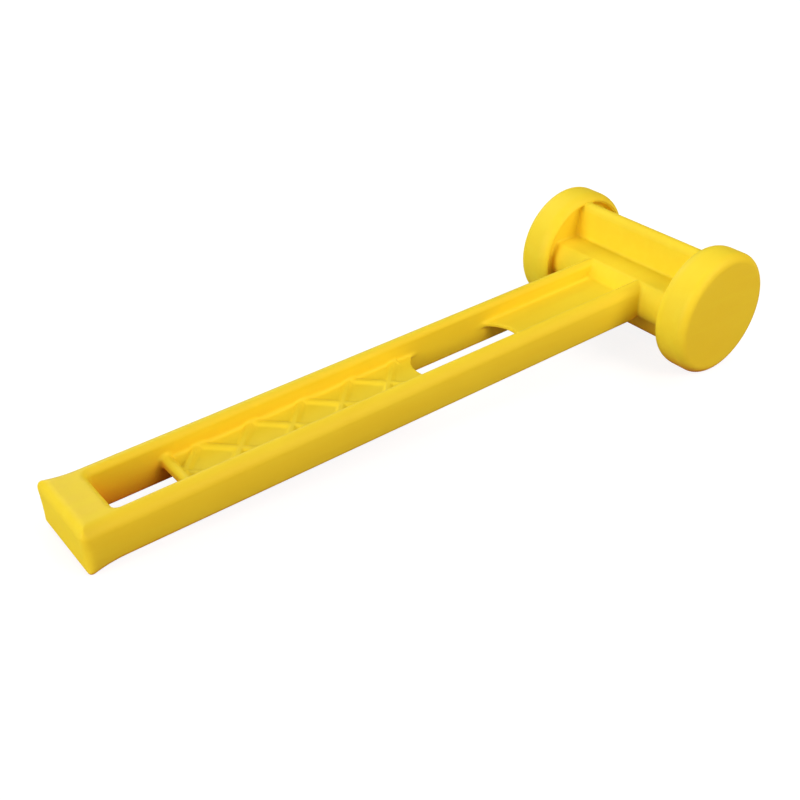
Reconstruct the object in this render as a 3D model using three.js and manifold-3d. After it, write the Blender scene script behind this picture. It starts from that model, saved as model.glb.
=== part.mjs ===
// Dead blow mallet: a moulded handle and head frame, two striking drums, and in each drum
// a steel canister of loose shot.  Millimetres, +Z up.
//
// The mallet is drawn in its own axes and laid down at the end of the file:
// +X is the striking axis, +Y runs from the butt towards the head, and the two cross
// at the middle of the head, which is the drawing's origin.
import * as THREE from 'three';
import { mergeVertices } from 'three/addons/utils/BufferGeometryUtils.js';
import Module from 'manifold-3d';

const wasm = await Module();
wasm.setup();

// ---------------------------------------------------------------- driving dimensions

const OVERALL_LENGTH = 300;
const HEAD_LENGTH = 97;
const DRUM_RADIUS = 27.5;
const DRUM_THICKNESS = 15.8;
const DRUM_OUTER_ROUND = 3.9;
const RIM_ROUND_ACROSS = 2.9;
const RIM_ROUND_ALONG = 5.3;
const RIM_STANDS_PROUD = 2.6;

const BAR_HALF_DEPTH = 19.6;
const BAR_NOSE_RADIUS = 12.5;
const FIN_HALF_HEIGHT = 24.2;
const FIN_THICKNESS = 6.7;
const FIN_ROUND = 2.4;

const HANDLE_HALF_HEIGHT_AT_HEAD = 8.5;
const HANDLE_HALF_HEIGHT_AT_BUTT = 8.1;
const HANDLE_HALF_WIDTH_AT_HEAD = 18.1;
const HANDLE_HALF_WIDTH_AT_BUTT = 17.4;
const HANDLE_ROUND = 3.2;
const RAIL_THICKNESS = 6.4;

const BUTT_BLOCK_LENGTH = 13.8;
const BUTT_FLARE_LENGTH = 13;
const BUTT_FLARE_WIDTH = 1.3;
const BUTT_FLARE_HEIGHT = 1.1;
const BUTT_END_ROUND = 3.4;

const PANEL_HALF_THICKNESS = 0.9;
const LATTICE_HALF_THICKNESS = 0.5;
const LATTICE_RIB_HALF_HEIGHT = 1.3;
const LATTICE_RIB_WIDTH = 2;
const LATTICE_PITCH = 21.7;
const LATTICE_CELLS = 5;
const CROSS_RIB_WIDTH = 3.8;
const CROSS_RIB_HALF_HEIGHT = 2.6;

// Places along the handle, measured from the striking axis towards the butt.
const LONG_SLOT_START = 78;
const LONG_SLOT_END = 128.3;
const LATTICE_FIRST_NODE = 131.4;
const LATTICE_END = 232;

const WALL = 3;
const STRIKING_WALL = 3.2;
const FLANGE_THICKNESS = 1.2;
const FLANGE_DISH_RADIUS = 22.3;
const FLANGE_DISH_DEPTH = 2.6;
const CANISTER_WALL = 0.5;
const CLEARANCE = 0.3;

const SHOT_RADIUS = 2.5;
const SHOT_ROWS = [5, 6, 7, 8];

// ---------------------------------------------------------------- derived dimensions

const HEAD_END = HEAD_LENGTH / 2;
const HEAD_INNER_FACE = HEAD_END - DRUM_THICKNESS;
const BUTT_END = OVERALL_LENGTH - DRUM_RADIUS;
const BUTT_WALL = BUTT_END - BUTT_BLOCK_LENGTH;
const CAP_BORE_RADIUS = DRUM_RADIUS - WALL;
const FLANGE_RADIUS = CAP_BORE_RADIUS - CLEARANCE;
const FLANGE_FACE = HEAD_INNER_FACE + RIM_STANDS_PROUD;
const CAP_FLOOR = HEAD_END - STRIKING_WALL;
const FLANGE_BACK = FLANGE_FACE + FLANGE_THICKNESS;
const CANISTER_MOUTH = FLANGE_BACK + CLEARANCE;
const CANISTER_END = CAP_FLOOR - CLEARANCE;
const CANISTER_BORE_RADIUS = FLANGE_RADIUS - CANISTER_WALL;
const SHOT_CENTRE = (CANISTER_MOUTH + CANISTER_END) / 2;
const SHOT_PITCH = 2 * SHOT_RADIUS + CLEARANCE;

const ROUND_SEGMENTS = 48;
const OVERLAP = 0.5;

// ---------------------------------------------------------------- materials

const yellowPlastic = new THREE.MeshStandardMaterial({ color: 0xf2cf1c, roughness: 0.42, metalness: 0 });
const steel = new THREE.MeshStandardMaterial({ color: 0xb4b6b8, roughness: 0.35, metalness: 1 });
const shotSteel = new THREE.MeshStandardMaterial({ color: 0x8f9194, roughness: 0.25, metalness: 1 });

// ---------------------------------------------------------------- shape helpers

// How far along the handle's taper a distance from the striking axis lies.
function alongTaper(distance) {
  return Math.min((distance - BAR_HALF_DEPTH) / (BUTT_WALL - BAR_HALF_DEPTH), 1);
}

// Half the width of the handle, outside its rails.
function handleHalfWidth(distance) {
  return THREE.MathUtils.lerp(HANDLE_HALF_WIDTH_AT_HEAD, HANDLE_HALF_WIDTH_AT_BUTT, alongTaper(distance));
}

function handleHalfHeight(distance) {
  return THREE.MathUtils.lerp(HANDLE_HALF_HEIGHT_AT_HEAD, HANDLE_HALF_HEIGHT_AT_BUTT, alongTaper(distance));
}

function railInnerFace(distance) {
  return handleHalfWidth(distance) - RAIL_THICKNESS;
}

// Points round a rectangle with rounded corners, anticlockwise.
function roundedRectangle(halfAcross, halfUp, radius, stepsPerCorner = 3) {
  const corners = [[1, 1], [-1, 1], [-1, -1], [1, -1]];
  return corners.flatMap(([right, up], corner) =>
    Array.from({ length: stepsPerCorner + 1 }, (_, step) => {
      const angle = (corner + step / stepsPerCorner) * Math.PI / 2;
      return [
        right * (halfAcross - radius) + radius * Math.cos(angle),
        up * (halfUp - radius) + radius * Math.sin(angle),
      ];
    }));
}

// A closed solid through a row of rings that all have the same number of points.
function loft(rings) {
  const count = rings[0].length;
  const last = (rings.length - 1) * count;
  const faces = [];
  for (let ring = 0; ring < rings.length - 1; ring++) {
    for (let point = 0; point < count; point++) {
      const a = ring * count + point;
      const b = ring * count + (point + 1) % count;
      faces.push(a, b, b + count, a, b + count, a + count);
    }
  }
  for (let point = 1; point < count - 1; point++) {
    faces.push(0, point + 1, point);
    faces.push(last, last + point, last + point + 1);
  }
  const geometry = new THREE.BufferGeometry();
  geometry.setAttribute('position', new THREE.Float32BufferAttribute(rings.flat(2), 3));
  geometry.setIndex(faces);
  return geometry;
}

// A bar of one section along X, centred on the origin.
function barAlongX(halfLength, section) {
  return loft([-halfLength, halfLength].map(x => section.map(([y, z]) => [x, y, z])));
}

// A flat plate of a drawn outline, centred on the handle's middle plane.
function plate(shape, halfThickness) {
  const geometry = new THREE.ExtrudeGeometry(shape, { depth: 2 * halfThickness, bevelEnabled: false });
  return geometry.translate(0, 0, -halfThickness);
}

// A solid of revolution about the striking axis, from [radius, distance along the axis] points.
function turned(profile) {
  const points = profile.map(([radius, along]) => new THREE.Vector2(radius, along));
  return new THREE.LatheGeometry(points, ROUND_SEGMENTS).rotateZ(-Math.PI / 2);
}

// Points of a rounded corner of a turned piece: a quarter of an ellipse between two angles.
function roundedCorner(centreRadius, centreAlong, across, along, fromDegrees, toDegrees, steps = 4) {
  return Array.from({ length: steps + 1 }, (_, step) => {
    const angle = THREE.MathUtils.degToRad(THREE.MathUtils.lerp(fromDegrees, toDegrees, step / steps));
    return [centreRadius + across * Math.cos(angle), centreAlong + along * Math.sin(angle)];
  });
}

function solidOf(geometry) {
  const bare = geometry.clone();
  bare.deleteAttribute('normal');
  bare.deleteAttribute('uv');
  const merged = mergeVertices(bare, 1e-4);
  return new wasm.Manifold(new wasm.Mesh({
    numProp: 3,
    vertProperties: new Float32Array(merged.attributes.position.array),
    triVerts: new Uint32Array(merged.index.array),
  }));
}

function geometryOf(solid) {
  const mesh = solid.getMesh();
  const geometry = new THREE.BufferGeometry();
  geometry.setAttribute('position', new THREE.BufferAttribute(mesh.vertProperties, 3));
  geometry.setIndex(new THREE.BufferAttribute(mesh.triVerts, 1));
  geometry.computeVertexNormals();
  return geometry;
}

// ---------------------------------------------------------------- handle and head frame

// The handle's outer form: a slightly tapered bar that flares to a block with soft edges.
function handleBlank() {
  const ring = (distance, inset = 0) => {
    const along = THREE.MathUtils.clamp((distance - BUTT_END) / BUTT_FLARE_LENGTH + 1, 0, 1);
    const halfWidth = handleHalfWidth(distance) + BUTT_FLARE_WIDTH * along ** 2 - inset;
    const halfHeight = handleHalfHeight(distance) + BUTT_FLARE_HEIGHT * along ** 2 - inset;
    return roundedRectangle(halfWidth, halfHeight, HANDLE_ROUND).map(([x, z]) => [x, -distance, z]);
  };
  const rings = [ring(BAR_HALF_DEPTH / 2)];
  for (const share of [0, 0.25, 0.5]) {
    rings.push(ring(BUTT_END - BUTT_FLARE_LENGTH * (1 - share)));
  }
  for (const degrees of [0, 25, 50, 72, 90]) {
    const angle = THREE.MathUtils.degToRad(degrees);
    const inset = BUTT_END_ROUND * (1 - Math.cos(angle));
    rings.push(ring(BUTT_END - BUTT_END_ROUND * (1 - Math.sin(angle)), inset));
  }
  return loft(rings);
}

// The space between the rails, from inside the head's bar to the butt block.
function spaceBetweenRails() {
  const start = BAR_HALF_DEPTH / 2 - OVERLAP;
  const outline = new THREE.Shape([
    new THREE.Vector2(-railInnerFace(start), -start),
    new THREE.Vector2(-railInnerFace(BUTT_WALL), -BUTT_WALL),
    new THREE.Vector2(railInnerFace(BUTT_WALL), -BUTT_WALL),
    new THREE.Vector2(railInnerFace(start), -start),
  ]);
  return plate(outline, 2 * HANDLE_HALF_HEIGHT_AT_HEAD);
}

// Web between the bar and the long slot; its end is the slot's round end.
function panel() {
  const slotRadius = railInnerFace(LONG_SLOT_START);
  const side = slotRadius + OVERLAP;
  const outline = new THREE.Shape();
  outline.moveTo(-side, -BAR_HALF_DEPTH + OVERLAP);
  outline.lineTo(-side, -LONG_SLOT_START - slotRadius);
  outline.lineTo(-slotRadius, -LONG_SLOT_START - slotRadius);
  outline.absarc(0, -LONG_SLOT_START - slotRadius, slotRadius, Math.PI, 0, true);
  outline.lineTo(side, -LONG_SLOT_START - slotRadius);
  outline.lineTo(side, -BAR_HALF_DEPTH + OVERLAP);
  return plate(outline, PANEL_HALF_THICKNESS);
}

// Outline of the web between the two slots, from the long slot's other round end.
function latticeOutline() {
  const slotRadius = railInnerFace(LONG_SLOT_END);
  const side = slotRadius + OVERLAP;
  const endSide = railInnerFace(LATTICE_END) + OVERLAP;
  const outline = new THREE.Shape();
  outline.moveTo(-endSide, -LATTICE_END);
  outline.lineTo(endSide, -LATTICE_END);
  outline.lineTo(side, -LONG_SLOT_END + slotRadius);
  outline.lineTo(slotRadius, -LONG_SLOT_END + slotRadius);
  outline.absarc(0, -LONG_SLOT_END + slotRadius, slotRadius, 0, Math.PI, true);
  outline.lineTo(-side, -LONG_SLOT_END + slotRadius);
  return outline;
}

// Crossed diagonal ribs, one X in each cell, cut off at the edges of the web.
function latticeRibs() {
  const span = 2 * (railInnerFace(LATTICE_FIRST_NODE) + OVERLAP);
  const length = Math.hypot(span, LATTICE_PITCH);
  let ribs = null;
  for (let cell = 0; cell < LATTICE_CELLS; cell++) {
    const centre = LATTICE_FIRST_NODE + (cell + 0.5) * LATTICE_PITCH;
    for (const lean of [-1, 1]) {
      const rib = new THREE.BoxGeometry(length, LATTICE_RIB_WIDTH, 2 * LATTICE_RIB_HALF_HEIGHT);
      rib.rotateZ(lean * Math.atan2(LATTICE_PITCH, span)).translate(0, -centre, 0);
      ribs = ribs ? ribs.add(solidOf(rib)) : solidOf(rib);
    }
  }
  return ribs.intersect(solidOf(plate(latticeOutline(), 2 * LATTICE_RIB_HALF_HEIGHT)));
}

// The thick rib across the web's end, on the side of the small slot.
function crossRib() {
  const width = 2 * (railInnerFace(LATTICE_END) + OVERLAP);
  const rib = new THREE.BoxGeometry(width, CROSS_RIB_WIDTH, 2 * CROSS_RIB_HALF_HEIGHT);
  return rib.translate(0, -LATTICE_END + CROSS_RIB_WIDTH / 2, 0);
}

// Section of the head's bar: flat above and below, its front and back two shallow arcs.
function barSection(steps = 8) {
  const arcCentre = BAR_HALF_DEPTH - BAR_NOSE_RADIUS;
  const reach = Math.asin(HANDLE_HALF_HEIGHT_AT_HEAD / BAR_NOSE_RADIUS);
  return [1, -1].flatMap(side =>
    Array.from({ length: steps + 1 }, (_, step) => {
      const angle = THREE.MathUtils.lerp(-reach, reach, step / steps);
      return [
        side * (arcCentre + BAR_NOSE_RADIUS * Math.cos(angle)),
        side * BAR_NOSE_RADIUS * Math.sin(angle),
      ];
    }));
}

// The dished flange that closes a drum on its inner side.
function flange(steps = 5) {
  const dish = Array.from({ length: steps + 1 }, (_, step) => [
    THREE.MathUtils.lerp(FLANGE_DISH_RADIUS, FLANGE_RADIUS, step / steps),
    FLANGE_FACE - FLANGE_DISH_DEPTH * THREE.MathUtils.smoothstep(step, 0, steps),
  ]);
  return turned([[0, FLANGE_FACE], ...dish, [FLANGE_RADIUS, FLANGE_BACK], [0, FLANGE_BACK]]);
}

function handleFrame() {
  const beamHalfLength = FLANGE_FACE + OVERLAP;
  const bar = barAlongX(beamHalfLength, barSection());
  const finSection = roundedRectangle(FIN_THICKNESS / 2, FIN_HALF_HEIGHT, FIN_ROUND);
  const fin = barAlongX(beamHalfLength, finSection);
  return solidOf(handleBlank())
    .subtract(solidOf(spaceBetweenRails()))
    .add(solidOf(panel()))
    .add(solidOf(plate(latticeOutline(), LATTICE_HALF_THICKNESS)))
    .add(latticeRibs())
    .add(solidOf(crossRib()))
    .add(solidOf(bar))
    .add(solidOf(fin))
    .add(solidOf(flange()))
    .add(solidOf(flange().rotateZ(Math.PI)));
}

// ---------------------------------------------------------------- drums and what they hold

// A deep cup whose floor is the striking face and whose rim closes over the frame's flange.
function strikingCap() {
  const rimCrest = DRUM_RADIUS - RIM_ROUND_ACROSS;
  const rimShoulder = HEAD_INNER_FACE + RIM_ROUND_ALONG;
  const faceEdge = DRUM_RADIUS - DRUM_OUTER_ROUND;
  return turned([
    [0, CAP_FLOOR],
    [CAP_BORE_RADIUS, CAP_FLOOR],
    [CAP_BORE_RADIUS, HEAD_INNER_FACE],
    ...roundedCorner(rimCrest, rimShoulder, RIM_ROUND_ACROSS, RIM_ROUND_ALONG, -90, 0),
    ...roundedCorner(faceEdge, HEAD_END - DRUM_OUTER_ROUND, DRUM_OUTER_ROUND, DRUM_OUTER_ROUND, 0, 90),
    [0, HEAD_END],
  ]);
}

// A thin steel cup that holds the shot, its mouth towards the middle of the head.
function shotCanister() {
  return turned([
    [0, CANISTER_END - CANISTER_WALL],
    [CANISTER_BORE_RADIUS, CANISTER_END - CANISTER_WALL],
    [CANISTER_BORE_RADIUS, CANISTER_MOUTH],
    [FLANGE_RADIUS, CANISTER_MOUTH],
    [FLANGE_RADIUS, CANISTER_END],
    [0, CANISTER_END],
  ]);
}

function canisterLid() {
  const radius = CANISTER_BORE_RADIUS - CLEARANCE;
  return turned([
    [0, CANISTER_MOUTH],
    [radius, CANISTER_MOUTH],
    [radius, CANISTER_MOUTH + CANISTER_WALL],
    [0, CANISTER_MOUTH + CANISTER_WALL],
  ]);
}

// Where the balls lie: rows that nest in each other, the lowest row on the canister's wall.
function shotPlaces() {
  const reach = CANISTER_BORE_RADIUS - SHOT_RADIUS - CLEARANCE;
  const lowestRowHalf = (SHOT_ROWS[0] - 1) / 2 * SHOT_PITCH;
  const lowest = -Math.sqrt(reach ** 2 - lowestRowHalf ** 2);
  return SHOT_ROWS.flatMap((count, row) =>
    Array.from({ length: count }, (_, ball) => [
      (ball - (count - 1) / 2) * SHOT_PITCH,
      lowest + row * SHOT_PITCH * Math.sin(Math.PI / 3),
    ]));
}

// ---------------------------------------------------------------- assembly

const mallet = new THREE.Group();

function addPiece(name, geometry, material) {
  const piece = new THREE.Mesh(geometry, material);
  piece.name = name;
  mallet.add(piece);
  return piece;
}

addPiece('handle_frame', geometryOf(handleFrame()), yellowPlastic);

for (const [sideName, side] of [['right', 1], ['left', -1]]) {
  const facing = side > 0 ? 0 : Math.PI;
  addPiece(`striking_cap_${sideName}`, strikingCap(), yellowPlastic).rotation.z = facing;
  addPiece(`shot_canister_${sideName}`, shotCanister(), steel).rotation.z = facing;
  addPiece(`canister_lid_${sideName}`, canisterLid(), steel).rotation.z = facing;
  shotPlaces().forEach(([y, z], index) => {
    const number = String(index + 1).padStart(2, '0');
    const ballShape = new THREE.SphereGeometry(SHOT_RADIUS, 10, 6);
    const ball = addPiece(`shot_${sideName}_${number}`, ballShape, shotSteel);
    ball.position.set(side * SHOT_CENTRE, y, z);
  });
}

// Laid down on its two drums and the butt's lower edge: the angle at which the drums and
// the round of that edge touch one plane.
const edgeRoundBehind = BUTT_END - BUTT_END_ROUND;
const edgeRoundBelow = HANDLE_HALF_HEIGHT_AT_BUTT + BUTT_FLARE_HEIGHT - BUTT_END_ROUND;
const edgeRoundAway = Math.hypot(edgeRoundBehind, edgeRoundBelow);
const restingAngle = Math.asin((DRUM_RADIUS - BUTT_END_ROUND) / edgeRoundAway)
  - Math.atan2(edgeRoundBelow, edgeRoundBehind);
mallet.rotation.x = restingAngle;

// The object's own origin is the middle of the bottom of its box.
const object = new THREE.Group();
object.add(mallet);
object.updateMatrixWorld(true);
const box = new THREE.Box3().setFromObject(object, true);
mallet.position.set(0, -(box.min.y + box.max.y) / 2, -box.min.z);

export default object;
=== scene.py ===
"""Dead blow mallet: the looks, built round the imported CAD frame.

Every shape below is worked out in the mallet's own axes, in millimetres: +X is the striking
axis, +Y runs from the butt to the head, +Z is up through the handle's flat, and the origin is
the middle of the head.  mallet_to_world lays the finished meshes down as the CAD lies.
"""

import math

import bmesh
import bpy
import numpy as np
import openvdb
from mathutils import Matrix, Vector


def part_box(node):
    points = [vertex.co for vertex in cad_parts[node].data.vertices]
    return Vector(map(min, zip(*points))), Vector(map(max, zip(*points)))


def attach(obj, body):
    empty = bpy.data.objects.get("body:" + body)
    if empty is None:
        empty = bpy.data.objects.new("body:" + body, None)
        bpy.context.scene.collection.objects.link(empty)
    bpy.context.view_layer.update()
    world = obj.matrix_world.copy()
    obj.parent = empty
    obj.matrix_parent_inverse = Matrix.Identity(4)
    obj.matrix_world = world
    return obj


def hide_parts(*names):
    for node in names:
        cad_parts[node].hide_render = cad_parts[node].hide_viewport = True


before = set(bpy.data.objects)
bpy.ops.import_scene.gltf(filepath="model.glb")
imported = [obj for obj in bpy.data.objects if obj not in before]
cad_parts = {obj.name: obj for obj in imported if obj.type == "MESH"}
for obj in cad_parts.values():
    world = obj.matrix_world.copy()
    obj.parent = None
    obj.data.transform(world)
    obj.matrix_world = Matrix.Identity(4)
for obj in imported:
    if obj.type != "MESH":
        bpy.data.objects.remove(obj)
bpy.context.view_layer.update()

MM = 0.001

# ------------------------------------------------------------------ dimensions, millimetres

DRUM_RADIUS = 27.5
DRUM_INNER_FACE = 32.7
DRUM_OUTER_FACE = 48.5
DRUM_OUTER_ROUND = 3.9
RIM_ROUND_ACROSS = 2.9
RIM_ROUND_ALONG = 5.3
CAP_BORE_RADIUS = 24.5
CAP_FLOOR = 45.3
FLANGE_FACE = 35.3
FLANGE_BACK = 36.5
FLANGE_RADIUS = 24.45
DISH_RADIUS = 22.3
DISH_DEPTH = 2.6

BAR_HALF_DEPTH = 19.6
BAR_NOSE_RADIUS = 12.5
BAR_TOP_ROUND = 0.8
FIN_HALF_HEIGHT = 24.45
FIN_HALF_THICKNESS = 3.35
FIN_ROUND = 3.1

BAR_HALF_HEIGHT = 8.5
HANDLE_TOP_AT_HEAD = 8.45
HANDLE_TOP_AT_BUTT = 8.6
HANDLE_BOTTOM_AT_HEAD = 8.9
HANDLE_BOTTOM_AT_BUTT = 8.1
HANDLE_HALF_WIDTH_AT_HEAD = 18.1
HANDLE_HALF_WIDTH_AT_BUTT = 17.4
HANDLE_ROUND_ABOVE = 4
HANDLE_ROUND_BELOW = 2.4
RAIL_CROWN = 0.9
RAIL_THICKNESS = 6.7
RAIL_INNER_ROUND_ABOVE = 2.4
RAIL_INNER_ROUND_BELOW = 1.2
POCKET_START = BAR_HALF_DEPTH / 2
POCKET_CORNER_ROUND = 2
BUTT_CORNER_ROUND = 2
BUTT_CORNER_EXTRA_ROUND = 2
BUTT_ROUND_REACH = 8

BUTT_END = 272.5
BUTT_WALL = 258.4
BUTT_FLARE_LENGTH = 13
BUTT_FLARE_WIDTH = 1.5
BUTT_FLARE_HEIGHT = 1.1

PANEL_HALF_THICKNESS = 0.9
LATTICE_HALF_THICKNESS = 0.5
RIB_HALF_HEIGHT = 1.25
RIB_HALF_WIDTH = 1.15
LATTICE_PITCH = 21.7
LATTICE_START = 131.4
LONG_SLOT_START = 78
LONG_SLOT_END = 128.3
SLOT_CUT_INTO_RAILS = 1.2
LONG_SLOT_MIDDLE = (LONG_SLOT_START + LONG_SLOT_END) / 2
CROSS_RIB_PLACE = 230.5
CROSS_RIB_HALF_WIDTH = 1.9
CROSS_RIB_HALF_HEIGHT = 2.6

# How round the small edges and fillets are.
FLANGE_EDGE_ROUND = 0.3
FRAME_FILLET = 1.2
WEB_FILLET = 1.3
RIB_ROUND = 0.8
SLOT_EDGE_ROUND = 0.45
CROSS_RIB_ROUND = 1.8
CROSS_RIB_FILLET = 1
HANDLE_FILLET = 0.9

# How the surfaces are sampled.
GRID_STEP = 0.42
TURNED_SEGMENTS = 240
FAR_OUTSIDE = 10.0

PIGMENT = (0.93, 0.755, 0.033)
PIGMENT_DEEP = (0.915, 0.715, 0.029)
PIGMENT_PALE = (0.94, 0.785, 0.043)
PIGMENT_SPECK = (0.88, 0.65, 0.022)
# Painted shade: the orange painted into hollows and near the floor, not the plastic's own colour.
PAINTED_SHADE_ORANGE = (0.86, 0.17, 0.006)

TARNISH_DULLS_TO = 0.72

# In metres, as the materials need them.
# HOLLOW_REACH and NEAR_FLOOR set where the painted shade goes.
HOLLOW_REACH = 0.04
NEAR_FLOOR = (0.004, 0.024)
PEEL_DEPTH = 0.00006
GRAIN_DEPTH = 0.000012
DRAWN_LINE_DEPTH = 0.00002

# ------------------------------------------------------------------ where the mallet lies

REST_ANGLE = math.radians(3.9022)
cap_low, cap_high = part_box("striking_cap_right")
head_centre = Vector((0, (cap_low[1] + cap_high[1]) / 2, (cap_low[2] + cap_high[2]) / 2))
mallet_to_world = (
    Matrix.Translation(head_centre) @ Matrix.Rotation(REST_ANGLE, 4, "X") @ Matrix.Scale(MM, 4)
)

# ------------------------------------------------------------------ distance fields


def intersect(a, b, radius):
    """Distance to what two solids share, the edge between their surfaces rounded."""
    round_part = np.hypot(np.maximum(a + radius, 0), np.maximum(b + radius, 0))
    return np.minimum(np.maximum(a, b), -radius) + round_part


def unite(a, b, radius):
    """Distance to two solids together, with a fillet where their surfaces meet."""
    fillet = np.hypot(np.maximum(radius - a, 0), np.maximum(radius - b, 0))
    return np.maximum(np.minimum(a, b), radius) - fillet


def rounded_block(radius, *beyond):
    """Distance to a block from how far a point is beyond each pair of its faces."""
    outside = 0
    furthest = -1e6
    for each in beyond:
        outside = outside + np.maximum(each + radius, 0) ** 2
        furthest = np.maximum(furthest, each + radius)
    return np.sqrt(outside) + np.minimum(furthest, 0) - radius


def tapered(distance, at_head, at_butt):
    """A measure of the handle that changes evenly from the head to the butt block."""
    along = np.minimum((distance - BAR_HALF_DEPTH) / (BUTT_WALL - BAR_HALF_DEPTH), 1)
    return at_head + (at_butt - at_head) * along


def handle_half_width(distance):
    """Half the handle's width at a distance from the head's middle."""
    return tapered(distance, HANDLE_HALF_WIDTH_AT_HEAD, HANDLE_HALF_WIDTH_AT_BUTT)


def handle_reach(distance, z):
    """How far the handle reaches from its middle plane, on the side that z is on.

    Inside the bar it stays just short of the bar's lower side, so that it makes no step there.
    """
    above = tapered(distance, HANDLE_TOP_AT_HEAD, HANDLE_TOP_AT_BUTT)
    below = tapered(distance, HANDLE_BOTTOM_AT_HEAD, HANDLE_BOTTOM_AT_BUTT)
    short_of_bar = BAR_HALF_HEIGHT - 0.05
    below = np.where(distance < BAR_HALF_DEPTH, short_of_bar, below)
    return np.where(z > 0, above, below)


def upper_share(z):
    """0 on the lower side and 1 on the upper side, for rounds that differ between the two."""
    return np.clip(0.5 + z / 4, 0, 1)


def handle_blank(x, distance, z):
    """Distance to the handle's outline before its pocket: crowned sides and a flared butt."""
    flare = np.clip((distance - BUTT_END) / BUTT_FLARE_LENGTH + 1, 0, 1) ** 2
    reach = handle_reach(distance, z)
    crowned = RAIL_CROWN * (z / reach) ** 2
    across = np.abs(x) - handle_half_width(distance) - BUTT_FLARE_WIDTH * flare + crowned
    up = np.abs(z) - reach - BUTT_FLARE_HEIGHT * flare
    middle_share = np.clip(1 - (z / BUTT_ROUND_REACH) ** 2, 0, 1)
    corner_round = BUTT_CORNER_ROUND + BUTT_CORNER_EXTRA_ROUND * middle_share
    outline = intersect(across, distance - BUTT_END, corner_round)
    added_above = (HANDLE_ROUND_ABOVE - HANDLE_ROUND_BELOW) * upper_share(z)
    blank = intersect(outline, up, HANDLE_ROUND_BELOW + added_above)
    return np.maximum(blank, BAR_HALF_DEPTH / 3 - distance)


def long_slot(x, distance):
    """Distance to the long slot with round ends."""
    radius = handle_half_width(LONG_SLOT_START) - RAIL_THICKNESS + SLOT_CUT_INTO_RAILS
    half_straight = (LONG_SLOT_END - LONG_SLOT_START) / 2 - radius
    past_straight = np.maximum(np.abs(distance - LONG_SLOT_MIDDLE) - half_straight, 0)
    return np.hypot(x, past_straight) - radius


def lattice_ribs(x, distance, z, inner):
    """Distance to the low ribs, which cross as two zigzags between the rails."""
    zigzag = np.abs(2 * (((distance - LATTICE_START) / LATTICE_PITCH) % 1) - 1)
    rib_reach = inner + 0.5
    square_on = LATTICE_PITCH / np.hypot(2 * rib_reach, LATTICE_PITCH)
    off_rib = np.abs(np.abs(x) - rib_reach * zigzag) * square_on
    ribs = rounded_block(RIB_ROUND, off_rib - RIB_HALF_WIDTH, np.abs(z) - RIB_HALF_HEIGHT)
    return np.maximum(ribs, LATTICE_START - 0.6 - distance)


def handle_web(x, distance, z):
    """Distance to the thin web between the rails, with its ribs and the long slot."""
    half_width = handle_half_width(distance)
    in_panel = distance < LONG_SLOT_MIDDLE
    half_thickness = np.where(in_panel, PANEL_HALF_THICKNESS, LATTICE_HALF_THICKNESS)
    ribs = lattice_ribs(x, distance, z, half_width - RAIL_THICKNESS)
    web = unite(np.abs(z) - half_thickness, ribs, WEB_FILLET)
    web = intersect(web, -long_slot(x, distance), SLOT_EDGE_ROUND)
    cross_rib = rounded_block(
        CROSS_RIB_ROUND,
        np.abs(distance - CROSS_RIB_PLACE) - CROSS_RIB_HALF_WIDTH,
        np.abs(z) - CROSS_RIB_HALF_HEIGHT,
    )
    web = np.maximum(web, distance - CROSS_RIB_PLACE)
    web = unite(web, cross_rib, CROSS_RIB_FILLET)
    web = np.maximum(web, np.abs(x) - half_width + RAIL_THICKNESS / 2)
    return np.maximum(web, POCKET_START - distance)


def handle_field(x, y, z):
    """The rails, the web, the lattice, the cross rib and the butt block."""
    distance = -y
    pocket_middle = (POCKET_START + BUTT_WALL) / 2
    pocket = rounded_block(
        POCKET_CORNER_ROUND,
        np.abs(x) - (handle_half_width(distance) - RAIL_THICKNESS),
        np.abs(distance - pocket_middle) - (BUTT_WALL - pocket_middle),
    )
    added_above = (RAIL_INNER_ROUND_ABOVE - RAIL_INNER_ROUND_BELOW) * upper_share(z)
    inner_round = RAIL_INNER_ROUND_BELOW + added_above
    rails = intersect(handle_blank(x, distance, z), -pocket, inner_round)
    return unite(rails, handle_web(x, distance, z), WEB_FILLET)


def head_field(x, y, z):
    """The bar, the fin and the two flanges."""
    past_flange = np.abs(x) - (FLANGE_FACE + FLANGE_BACK) / 2
    past_nose_centre = np.maximum(np.abs(y) - BAR_HALF_DEPTH + BAR_NOSE_RADIUS, 0)
    nose = np.hypot(past_nose_centre, z) - BAR_NOSE_RADIUS
    bar = intersect(nose, np.abs(z) - BAR_HALF_HEIGHT, BAR_TOP_ROUND)
    fin = rounded_block(FIN_ROUND, np.abs(y) - FIN_HALF_THICKNESS, np.abs(z) - FIN_HALF_HEIGHT)
    beam = np.maximum(unite(bar, fin, FRAME_FILLET), past_flange)
    out = np.hypot(y, z)
    rise = np.clip((out - DISH_RADIUS) / (FLANGE_RADIUS - DISH_RADIUS), 0, 1)
    dish = DISH_DEPTH * rise ** 2 * (3 - 2 * rise)
    flange = rounded_block(
        FLANGE_EDGE_ROUND,
        out - FLANGE_RADIUS,
        np.maximum(past_flange - (FLANGE_BACK - FLANGE_FACE) / 2,
                   FLANGE_FACE - dish - np.abs(x)),
    )
    return unite(beam, flange, FRAME_FILLET)


def frame_field(x, y, z):
    """The whole moulding.  The fillet between head and handle dies out towards the bar's top."""
    below_top = np.clip((BAR_HALF_HEIGHT - np.abs(z)) / 2.5, 0.03, 1)
    return unite(head_field(x, y, z), handle_field(x, y, z), HANDLE_FILLET * below_top)


# ------------------------------------------------------------------ meshes


def grid_block(low, high):
    """Whole grid steps that cover a box given in millimetres."""
    first = np.floor(np.array(low) / GRID_STEP).astype(int)
    last = np.ceil(np.array(high) / GRID_STEP).astype(int)
    return first, last


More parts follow.
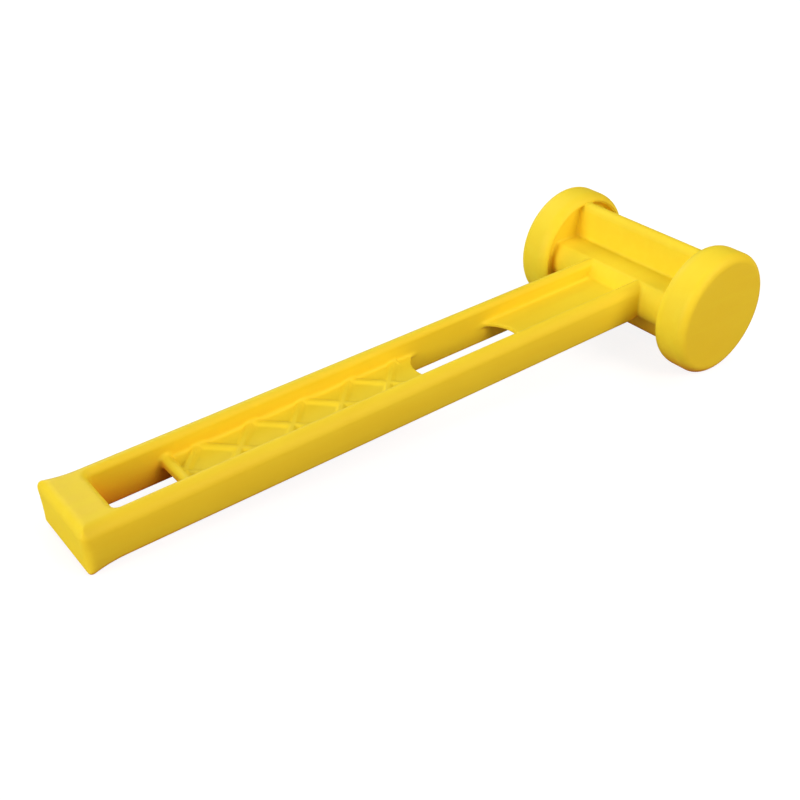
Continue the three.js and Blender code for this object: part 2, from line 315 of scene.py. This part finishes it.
def fill_grid(grid, field, low, high):
    """Writes a field's values at every grid point of a box."""
    first, last = grid_block(low, high)
    step = np.float32(GRID_STEP)
    axes = [np.arange(a, b + 1, dtype=np.float32) * step for a, b in zip(first, last)]
    x, y, z = np.meshgrid(*axes, indexing="ij", sparse=True)
    values = field(x, y, z).astype(np.float32)
    grid.copyFromArray(np.ascontiguousarray(values), ijk=tuple(int(v) for v in first))


def gradient(field, points, step=0.02):
    """The slope of a field at each point, from its values a small step either way."""
    slopes = []
    for axis in range(3):
        offset = np.zeros(3)
        offset[axis] = step
        ahead = field(*(points + offset).T)
        behind = field(*(points - offset).T)
        slopes.append((ahead - behind) / (2 * step))
    return np.array(slopes).T


def pull_to_surface(field, points, rounds=4):
    """Moves points along the field's slope until they lie on its surface."""
    for _ in range(rounds):
        value = field(*points.T)
        slope = gradient(field, points)
        length = np.maximum((slope ** 2).sum(axis=1), 0.25)
        step = np.clip(value, -GRID_STEP / 2, GRID_STEP / 2) / length
        points = points - slope * step[:, None]
    return points


def new_piece(name, points, faces, material):
    """A smooth-shaded mesh object from mallet-frame millimetres, laid down as the CAD lies."""
    mesh = bpy.data.meshes.new(name)
    corners = faces.shape[1]
    mesh.vertices.add(len(points))
    mesh.vertices.foreach_set("co", np.asarray(points, dtype=np.float32).ravel())
    mesh.loops.add(faces.size)
    mesh.loops.foreach_set("vertex_index", faces.astype(np.int32).ravel())
    mesh.polygons.add(len(faces))
    mesh.polygons.foreach_set("loop_start", np.arange(0, faces.size, corners, dtype=np.int32))
    mesh.transform(mallet_to_world)
    mesh.update(calc_edges=True)
    mesh.validate()
    mesh.polygons.foreach_set("use_smooth", np.ones(len(mesh.polygons), dtype=bool))
    mesh.materials.append(material)
    piece = bpy.data.objects.new(name, mesh)
    bpy.context.scene.collection.objects.link(piece)
    return piece


def frame_mesh():
    """Points and quads of the moulding's surface, sampled in a box round handle and round head."""
    grid = openvdb.FloatGrid(FAR_OUTSIDE)
    handle_reaches = (20.5, 275, 11.5)
    head_reaches = (38.5, 26.5, 26.5)
    fill_grid(grid, frame_field, tuple(-reach for reach in handle_reaches),
              (handle_reaches[0], -10, handle_reaches[2]))
    fill_grid(grid, frame_field, tuple(-reach for reach in head_reaches), head_reaches)
    points, quads = grid.convertToQuads(0.0)
    points = pull_to_surface(frame_field, points.astype(np.float64) * GRID_STEP)
    return points, quads


def rounded_corner(centre_radius, centre_along, across, along, start, end, steps=12):
    """Points of a quarter of an ellipse on a turned profile, between two angles in degrees."""
    return [
        (centre_radius + across * math.cos(angle), centre_along + along * math.sin(angle))
        for angle in np.radians(np.linspace(start, end, steps + 1))
    ]


def turned(profile, side):
    """Points and faces of a closed profile of (radius, along) turned round the striking axis."""
    profile = np.array(profile)
    angles = np.arange(TURNED_SEGMENTS) * 2 * math.pi / TURNED_SEGMENTS
    index = []
    points = []
    for radius, along in profile:
        if radius == 0:
            index.append([len(points)] * TURNED_SEGMENTS)
            points.append((side * along, 0, 0))
        else:
            index.append(list(range(len(points), len(points) + TURNED_SEGMENTS)))
            points += [
                (side * along, radius * math.cos(angle), side * radius * math.sin(angle))
                for angle in angles
            ]
    quads = []
    triangles = []
    count = len(profile)
    for ring in range(count):
        here, there = index[ring], index[(ring + 1) % count]
        if profile[ring][0] == 0 and profile[(ring + 1) % count][0] == 0:
            continue
        for step in range(TURNED_SEGMENTS):
            a, b = here[step], here[(step + 1) % TURNED_SEGMENTS]
            c, d = there[(step + 1) % TURNED_SEGMENTS], there[step]
            if a == b:
                triangles.append((a, c, d))
            elif c == d:
                triangles.append((a, b, d))
            else:
                quads.append((a, b, c, d))
    return points, quads + triangles


def turned_piece(name, profile, side, material):
    """A smooth-shaded object from a turned profile; side is 1 on the right and -1 on the left."""
    points, faces = turned(profile, side)
    mesh = bpy.data.meshes.new(name)
    mesh.from_pydata(points, [], faces)
    mesh.transform(mallet_to_world)
    mesh.validate()
    shape = bmesh.new()
    shape.from_mesh(mesh)
    bmesh.ops.recalc_face_normals(shape, faces=shape.faces)
    shape.to_mesh(mesh)
    shape.free()
    mesh.polygons.foreach_set("use_smooth", np.ones(len(mesh.polygons), dtype=bool))
    mesh.materials.append(material)
    piece = bpy.data.objects.new(name, mesh)
    bpy.context.scene.collection.objects.link(piece)
    return piece


def cap_profile():
    """The cap's section: its bore, the rim, the soft outer edge and the striking face."""
    crest = DRUM_RADIUS - RIM_ROUND_ACROSS
    face_edge = DRUM_RADIUS - DRUM_OUTER_ROUND
    along = DRUM_INNER_FACE + RIM_ROUND_ALONG
    return [
        (0, CAP_FLOOR),
        (CAP_BORE_RADIUS, CAP_FLOOR),
        (CAP_BORE_RADIUS, DRUM_INNER_FACE),
        *rounded_corner(crest, along, RIM_ROUND_ACROSS, RIM_ROUND_ALONG, -90, 0, 24),
        *rounded_corner(face_edge, DRUM_OUTER_FACE - DRUM_OUTER_ROUND, DRUM_OUTER_ROUND,
                        DRUM_OUTER_ROUND, 0, 90, 20),
        (face_edge - 0.5, DRUM_OUTER_FACE),
        (face_edge / 2, DRUM_OUTER_FACE),
        (0, DRUM_OUTER_FACE),
    ]


# ------------------------------------------------------------------ materials


def material_of(name):
    """A new node material, with its nodes and links."""
    material = bpy.data.materials.new(name)
    material.use_nodes = True
    return material, material.node_tree.nodes, material.node_tree.links


def noise(nodes, links, place, scale, detail):
    """A noise pattern over the piece, scale being how many times it repeats in a metre."""
    texture = nodes.new("ShaderNodeTexNoise")
    texture.inputs["Scale"].default_value = scale
    texture.inputs["Detail"].default_value = detail
    links.new(place, texture.inputs["Vector"])
    return texture.outputs["Fac"]


def stretched(nodes, links, place, stretch):
    """The same places with each axis scaled, so that a pattern on them runs in streaks."""
    mapping = nodes.new("ShaderNodeMapping")
    mapping.inputs["Scale"].default_value = stretch
    links.new(place, mapping.inputs["Vector"])
    return mapping.outputs["Vector"]


def blend_colours(nodes, links, factor, first, second):
    """The first colour where factor is 0 and the second where it is 1; each a tuple or a socket."""
    mix = nodes.new("ShaderNodeMix")
    mix.data_type = "RGBA"
    links.new(factor, mix.inputs["Factor"])
    for socket, colour in (("A", first), ("B", second)):
        target = next(i for i in mix.inputs if i.name == socket and i.type == "RGBA")
        if isinstance(colour, tuple):
            target.default_value = (*colour, 1)
        else:
            links.new(colour, target)
    return next(o for o in mix.outputs if o.type == "RGBA")


def spread(nodes, links, value, low, high, to_low=0.0, to_high=1.0):
    """The part of a pattern between low and high, spread over another range."""
    ranged = nodes.new("ShaderNodeMapRange")
    ranged.inputs["From Min"].default_value = low
    ranged.inputs["From Max"].default_value = high
    ranged.inputs["To Min"].default_value = to_low
    ranged.inputs["To Max"].default_value = to_high
    links.new(value, ranged.inputs["Value"])
    return ranged.outputs["Result"]


def calculated(nodes, links, operation, first, second):
    """One sum on two sockets."""
    maths = nodes.new("ShaderNodeMath")
    maths.operation = operation
    links.new(first, maths.inputs[0])
    links.new(second, maths.inputs[1])
    return maths.outputs["Value"]


def bumps(nodes, links, height, distance, under=None):
    """A bumped normal: distance is the pattern's depth in metres, under a coarser bump below it."""
    bump = nodes.new("ShaderNodeBump")
    bump.inputs["Distance"].default_value = distance
    links.new(height, bump.inputs["Height"])
    if under is not None:
        links.new(under, bump.inputs["Normal"])
    return bump.outputs["Normal"]


def yellow_plastic():
    """Moulded yellow plastic: cloudy pigment, faint flow streaks, orange peel and fine grain.

    Painted shade: hollows, and half-hidden places near the floor, are painted orange in the base
    colour. This stands in for shade there and for light that has bounced from plastic to plastic.
    """
    material, nodes, links = material_of("yellow_plastic")
    shader = nodes["Principled BSDF"]
    place = nodes.new("ShaderNodeTexCoord").outputs["Object"]
    clouds = spread(nodes, links, noise(nodes, links, place, 28, 3), 0.3, 0.7)
    streaks = noise(nodes, links, stretched(nodes, links, place, (260, 26, 260)), 1, 4)
    specks = noise(nodes, links, place, 1400, 2)
    peel = noise(nodes, links, place, 520, 2)
    grain = noise(nodes, links, place, 3600, 3)

    cloudy = blend_colours(nodes, links, clouds, PIGMENT, PIGMENT_DEEP)
    streaked = blend_colours(nodes, links, spread(nodes, links, streaks, 0.45, 0.75, 0, 0.5),
                             cloudy, PIGMENT_PALE)
    dusty = blend_colours(nodes, links, spread(nodes, links, specks, 0.68, 0.8, 0, 0.35),
                          streaked, PIGMENT_SPECK)
    # Painted shade: ambient occlusion and height above the floor paint the base colour orange in
    # hollows and in low, half-hidden places.
    hollow = nodes.new("ShaderNodeAmbientOcclusion")
    hollow.inputs["Distance"].default_value = HOLLOW_REACH
    hollow.samples = 8
    painted_shade_in_hollows = spread(nodes, links, hollow.outputs["AO"], 0.0, 0.24, 1, 0)
    half_hidden = spread(nodes, links, hollow.outputs["AO"], 0.05, 0.45, 1, 0)
    height = nodes.new("ShaderNodeSeparateXYZ")
    links.new(place, height.inputs["Vector"])
    near_floor = spread(nodes, links, height.outputs["Z"], *NEAR_FLOOR, 1, 0)
    painted_shade_near_floor = calculated(nodes, links, "MULTIPLY", half_hidden, near_floor)
    shade = calculated(nodes, links, "MAXIMUM", painted_shade_in_hollows, painted_shade_near_floor)
    shaded = blend_colours(nodes, links, shade, dusty, PAINTED_SHADE_ORANGE)
    links.new(shaded, shader.inputs["Base Color"])
    links.new(spread(nodes, links, streaks, 0.3, 0.7, 0.5, 0.6), shader.inputs["Roughness"])
    shader.inputs["Specular IOR Level"].default_value = 0.18
    skin = bumps(nodes, links, peel, PEEL_DEPTH)
    links.new(bumps(nodes, links, grain, GRAIN_DEPTH, skin), shader.inputs["Normal"])
    return material


def steel(name, colour, roughness, streak):
    """Bare steel: drawing streaks, cloudy tarnish and a fine grain."""
    material, nodes, links = material_of(name)
    shader = nodes["Principled BSDF"]
    place = nodes.new("ShaderNodeTexCoord").outputs["Object"]
    lines = noise(nodes, links, stretched(nodes, links, place, streak), 1, 5)
    tarnish = spread(nodes, links, noise(nodes, links, place, 120, 4), 0.35, 0.7)
    dulled = tuple(TARNISH_DULLS_TO * part for part in colour)
    links.new(blend_colours(nodes, links, tarnish, colour, dulled), shader.inputs["Base Color"])
    shader.inputs["Metallic"].default_value = 1
    links.new(
        spread(nodes, links, lines, 0.3, 0.7, roughness - 0.1, roughness + 0.1),
        shader.inputs["Roughness"],
    )
    links.new(bumps(nodes, links, lines, DRAWN_LINE_DEPTH), shader.inputs["Normal"])
    return material


plastic = yellow_plastic()
canister_steel = steel("canister_steel", (0.6, 0.6, 0.59), 0.35, (60, 1500, 1500))
shot_steel = steel("shot_steel", (0.45, 0.46, 0.47), 0.3, (900, 900, 900))

# ------------------------------------------------------------------ pieces

points, quads = frame_mesh()
handle = new_piece("handle_and_head_frame", points, quads, plastic)
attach(handle, "mallet")
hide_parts("handle_frame")

for side_name, side in (("right", 1), ("left", -1)):
    cap = turned_piece(f"drum_cap_{side_name}", cap_profile(), side, plastic)
    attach(cap, "mallet")
    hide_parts(f"striking_cap_{side_name}")

for node_name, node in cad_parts.items():
    if node_name.startswith("shot_canister") or node_name.startswith("canister_lid"):
        node.data.materials.clear()
        node.data.materials.append(canister_steel)
    elif node_name.startswith("shot_"):
        node.data.materials.clear()
        node.data.materials.append(shot_steel)

# ------------------------------------------------------------------ stage, light and camera


def stage():
    """A pale floor whose far edges turn up.  Its glow, which whitens it, lights only itself."""
    floor_mesh = bpy.data.meshes.new("floor")
    corners = [(-1, -1), (1, -1), (1, 1), (-1, 1)]
    levels = ((6, 0), (8, 1), (9, 3.5))
    rings = [(reach * x, reach * y, height) for reach, height in levels for x, y in corners]
    sides = [
        (level + i, level + (i + 1) % 4, level + 4 + (i + 1) % 4, level + 4 + i)
        for level in (0, 4)
        for i in range(4)
    ]
    floor_mesh.from_pydata(rings, [], [(0, 1, 2, 3)] + sides)
    material, nodes, links = material_of("floor")
    shader = nodes["Principled BSDF"]
    place = nodes.new("ShaderNodeTexCoord").outputs["Object"]
    patches = noise(nodes, links, place, 3, 2)
    links.new(blend_colours(nodes, links, patches, (0.2, 0.2, 0.2), (0.22, 0.22, 0.22)),
              shader.inputs["Base Color"])
    shader.inputs["Roughness"].default_value = 0.9
    shader.inputs["Emission Color"].default_value = (1, 1, 1, 1)
    shader.inputs["Emission Strength"].default_value = 0.86
    floor_mesh.materials.append(material)
    floor = bpy.data.objects.new("floor", floor_mesh)
    bpy.context.scene.collection.objects.link(floor)
    lit_by_floor = bpy.data.collections.new("lit_by_floor")
    lit_by_floor.objects.link(floor)
    floor.light_linking.receiver_collection = lit_by_floor


def area_light(name, place, size, power, colour):
    """A round soft box that faces the mallet and stays out of the picture itself."""
    light = bpy.data.lights.new(name, "AREA")
    light.shape = "DISK"
    light.size = size
    light.energy = power
    light.color = colour
    lamp = bpy.data.objects.new(name, light)
    lamp.location = place
    lamp.rotation_mode = "QUATERNION"
    lamp.rotation_quaternion = (-Vector(place)).to_track_quat("-Z", "Y")
    lamp.visible_camera = False
    bpy.context.scene.collection.objects.link(lamp)


def lighting():
    """A big soft front light, softer fills round the mallet and a little light from everywhere."""
    world = bpy.data.worlds.new("studio")
    world.use_nodes = True
    world.node_tree.nodes["Background"].inputs["Color"].default_value = (1, 1, 1, 1)
    world.node_tree.nodes["Background"].inputs["Strength"].default_value = 0.06
    bpy.context.scene.world = world
    area_light("front", (-0.1, -2.6, 0.55), 1.9, 57, (1, 0.99, 0.98))
    area_light("beside_head", (0.45, 0.33, 0.42), 0.45, 0.4, (1, 0.72, 0.6))
    area_light("beside", (1.0, 0.3, 0.78), 0.8, 9.2, (1, 0.83, 0.76))
    area_light("warm_beside", (0.8, -0.35, 0.1), 0.5, 0.7, (1, 0.4, 0.18))
    area_light("warm_in_front", (0.25, -1.2, 0.1), 0.5, 1.8, (1, 0.4, 0.15))
    area_light("above", (0.2, 0.4, 1.55), 1.0, 4.2, (1, 0.98, 0.95))
    area_light("behind", (-1.38, 0.12, 0.8), 1.2, 12, (1, 0.99, 0.97))


def camera():
    """The camera stands where the photograph's perspective puts it, given in the mallet's axes."""
    data = bpy.data.cameras.new("camera")
    data.sensor_width = 36
    data.lens = 46.6785
    data.shift_x = -0.05
    view = bpy.data.objects.new("camera", data)
    bpy.context.scene.collection.objects.link(view)
    right = Vector((0.64051, 0.76794, 0.00403))
    down = Vector((0.43331, -0.35707, -0.82749))
    forward = Vector((-0.63403, 0.53176, -0.56147))
    turn = Matrix((right, -down, -forward)).transposed().to_4x4()
    place = Matrix.Translation(Vector((266.747, -340.446, 218.083)))
    in_world = mallet_to_world @ place @ turn
    location, rotation, _ = in_world.decompose()
    view.location = location
    view.rotation_mode = "QUATERNION"
    view.rotation_quaternion = rotation
    data.clip_start = 0.01
    data.clip_end = 50
    bpy.context.scene.camera = view


stage()
lighting()
camera()
bpy.context.scene.view_settings.view_transform = "Standard"
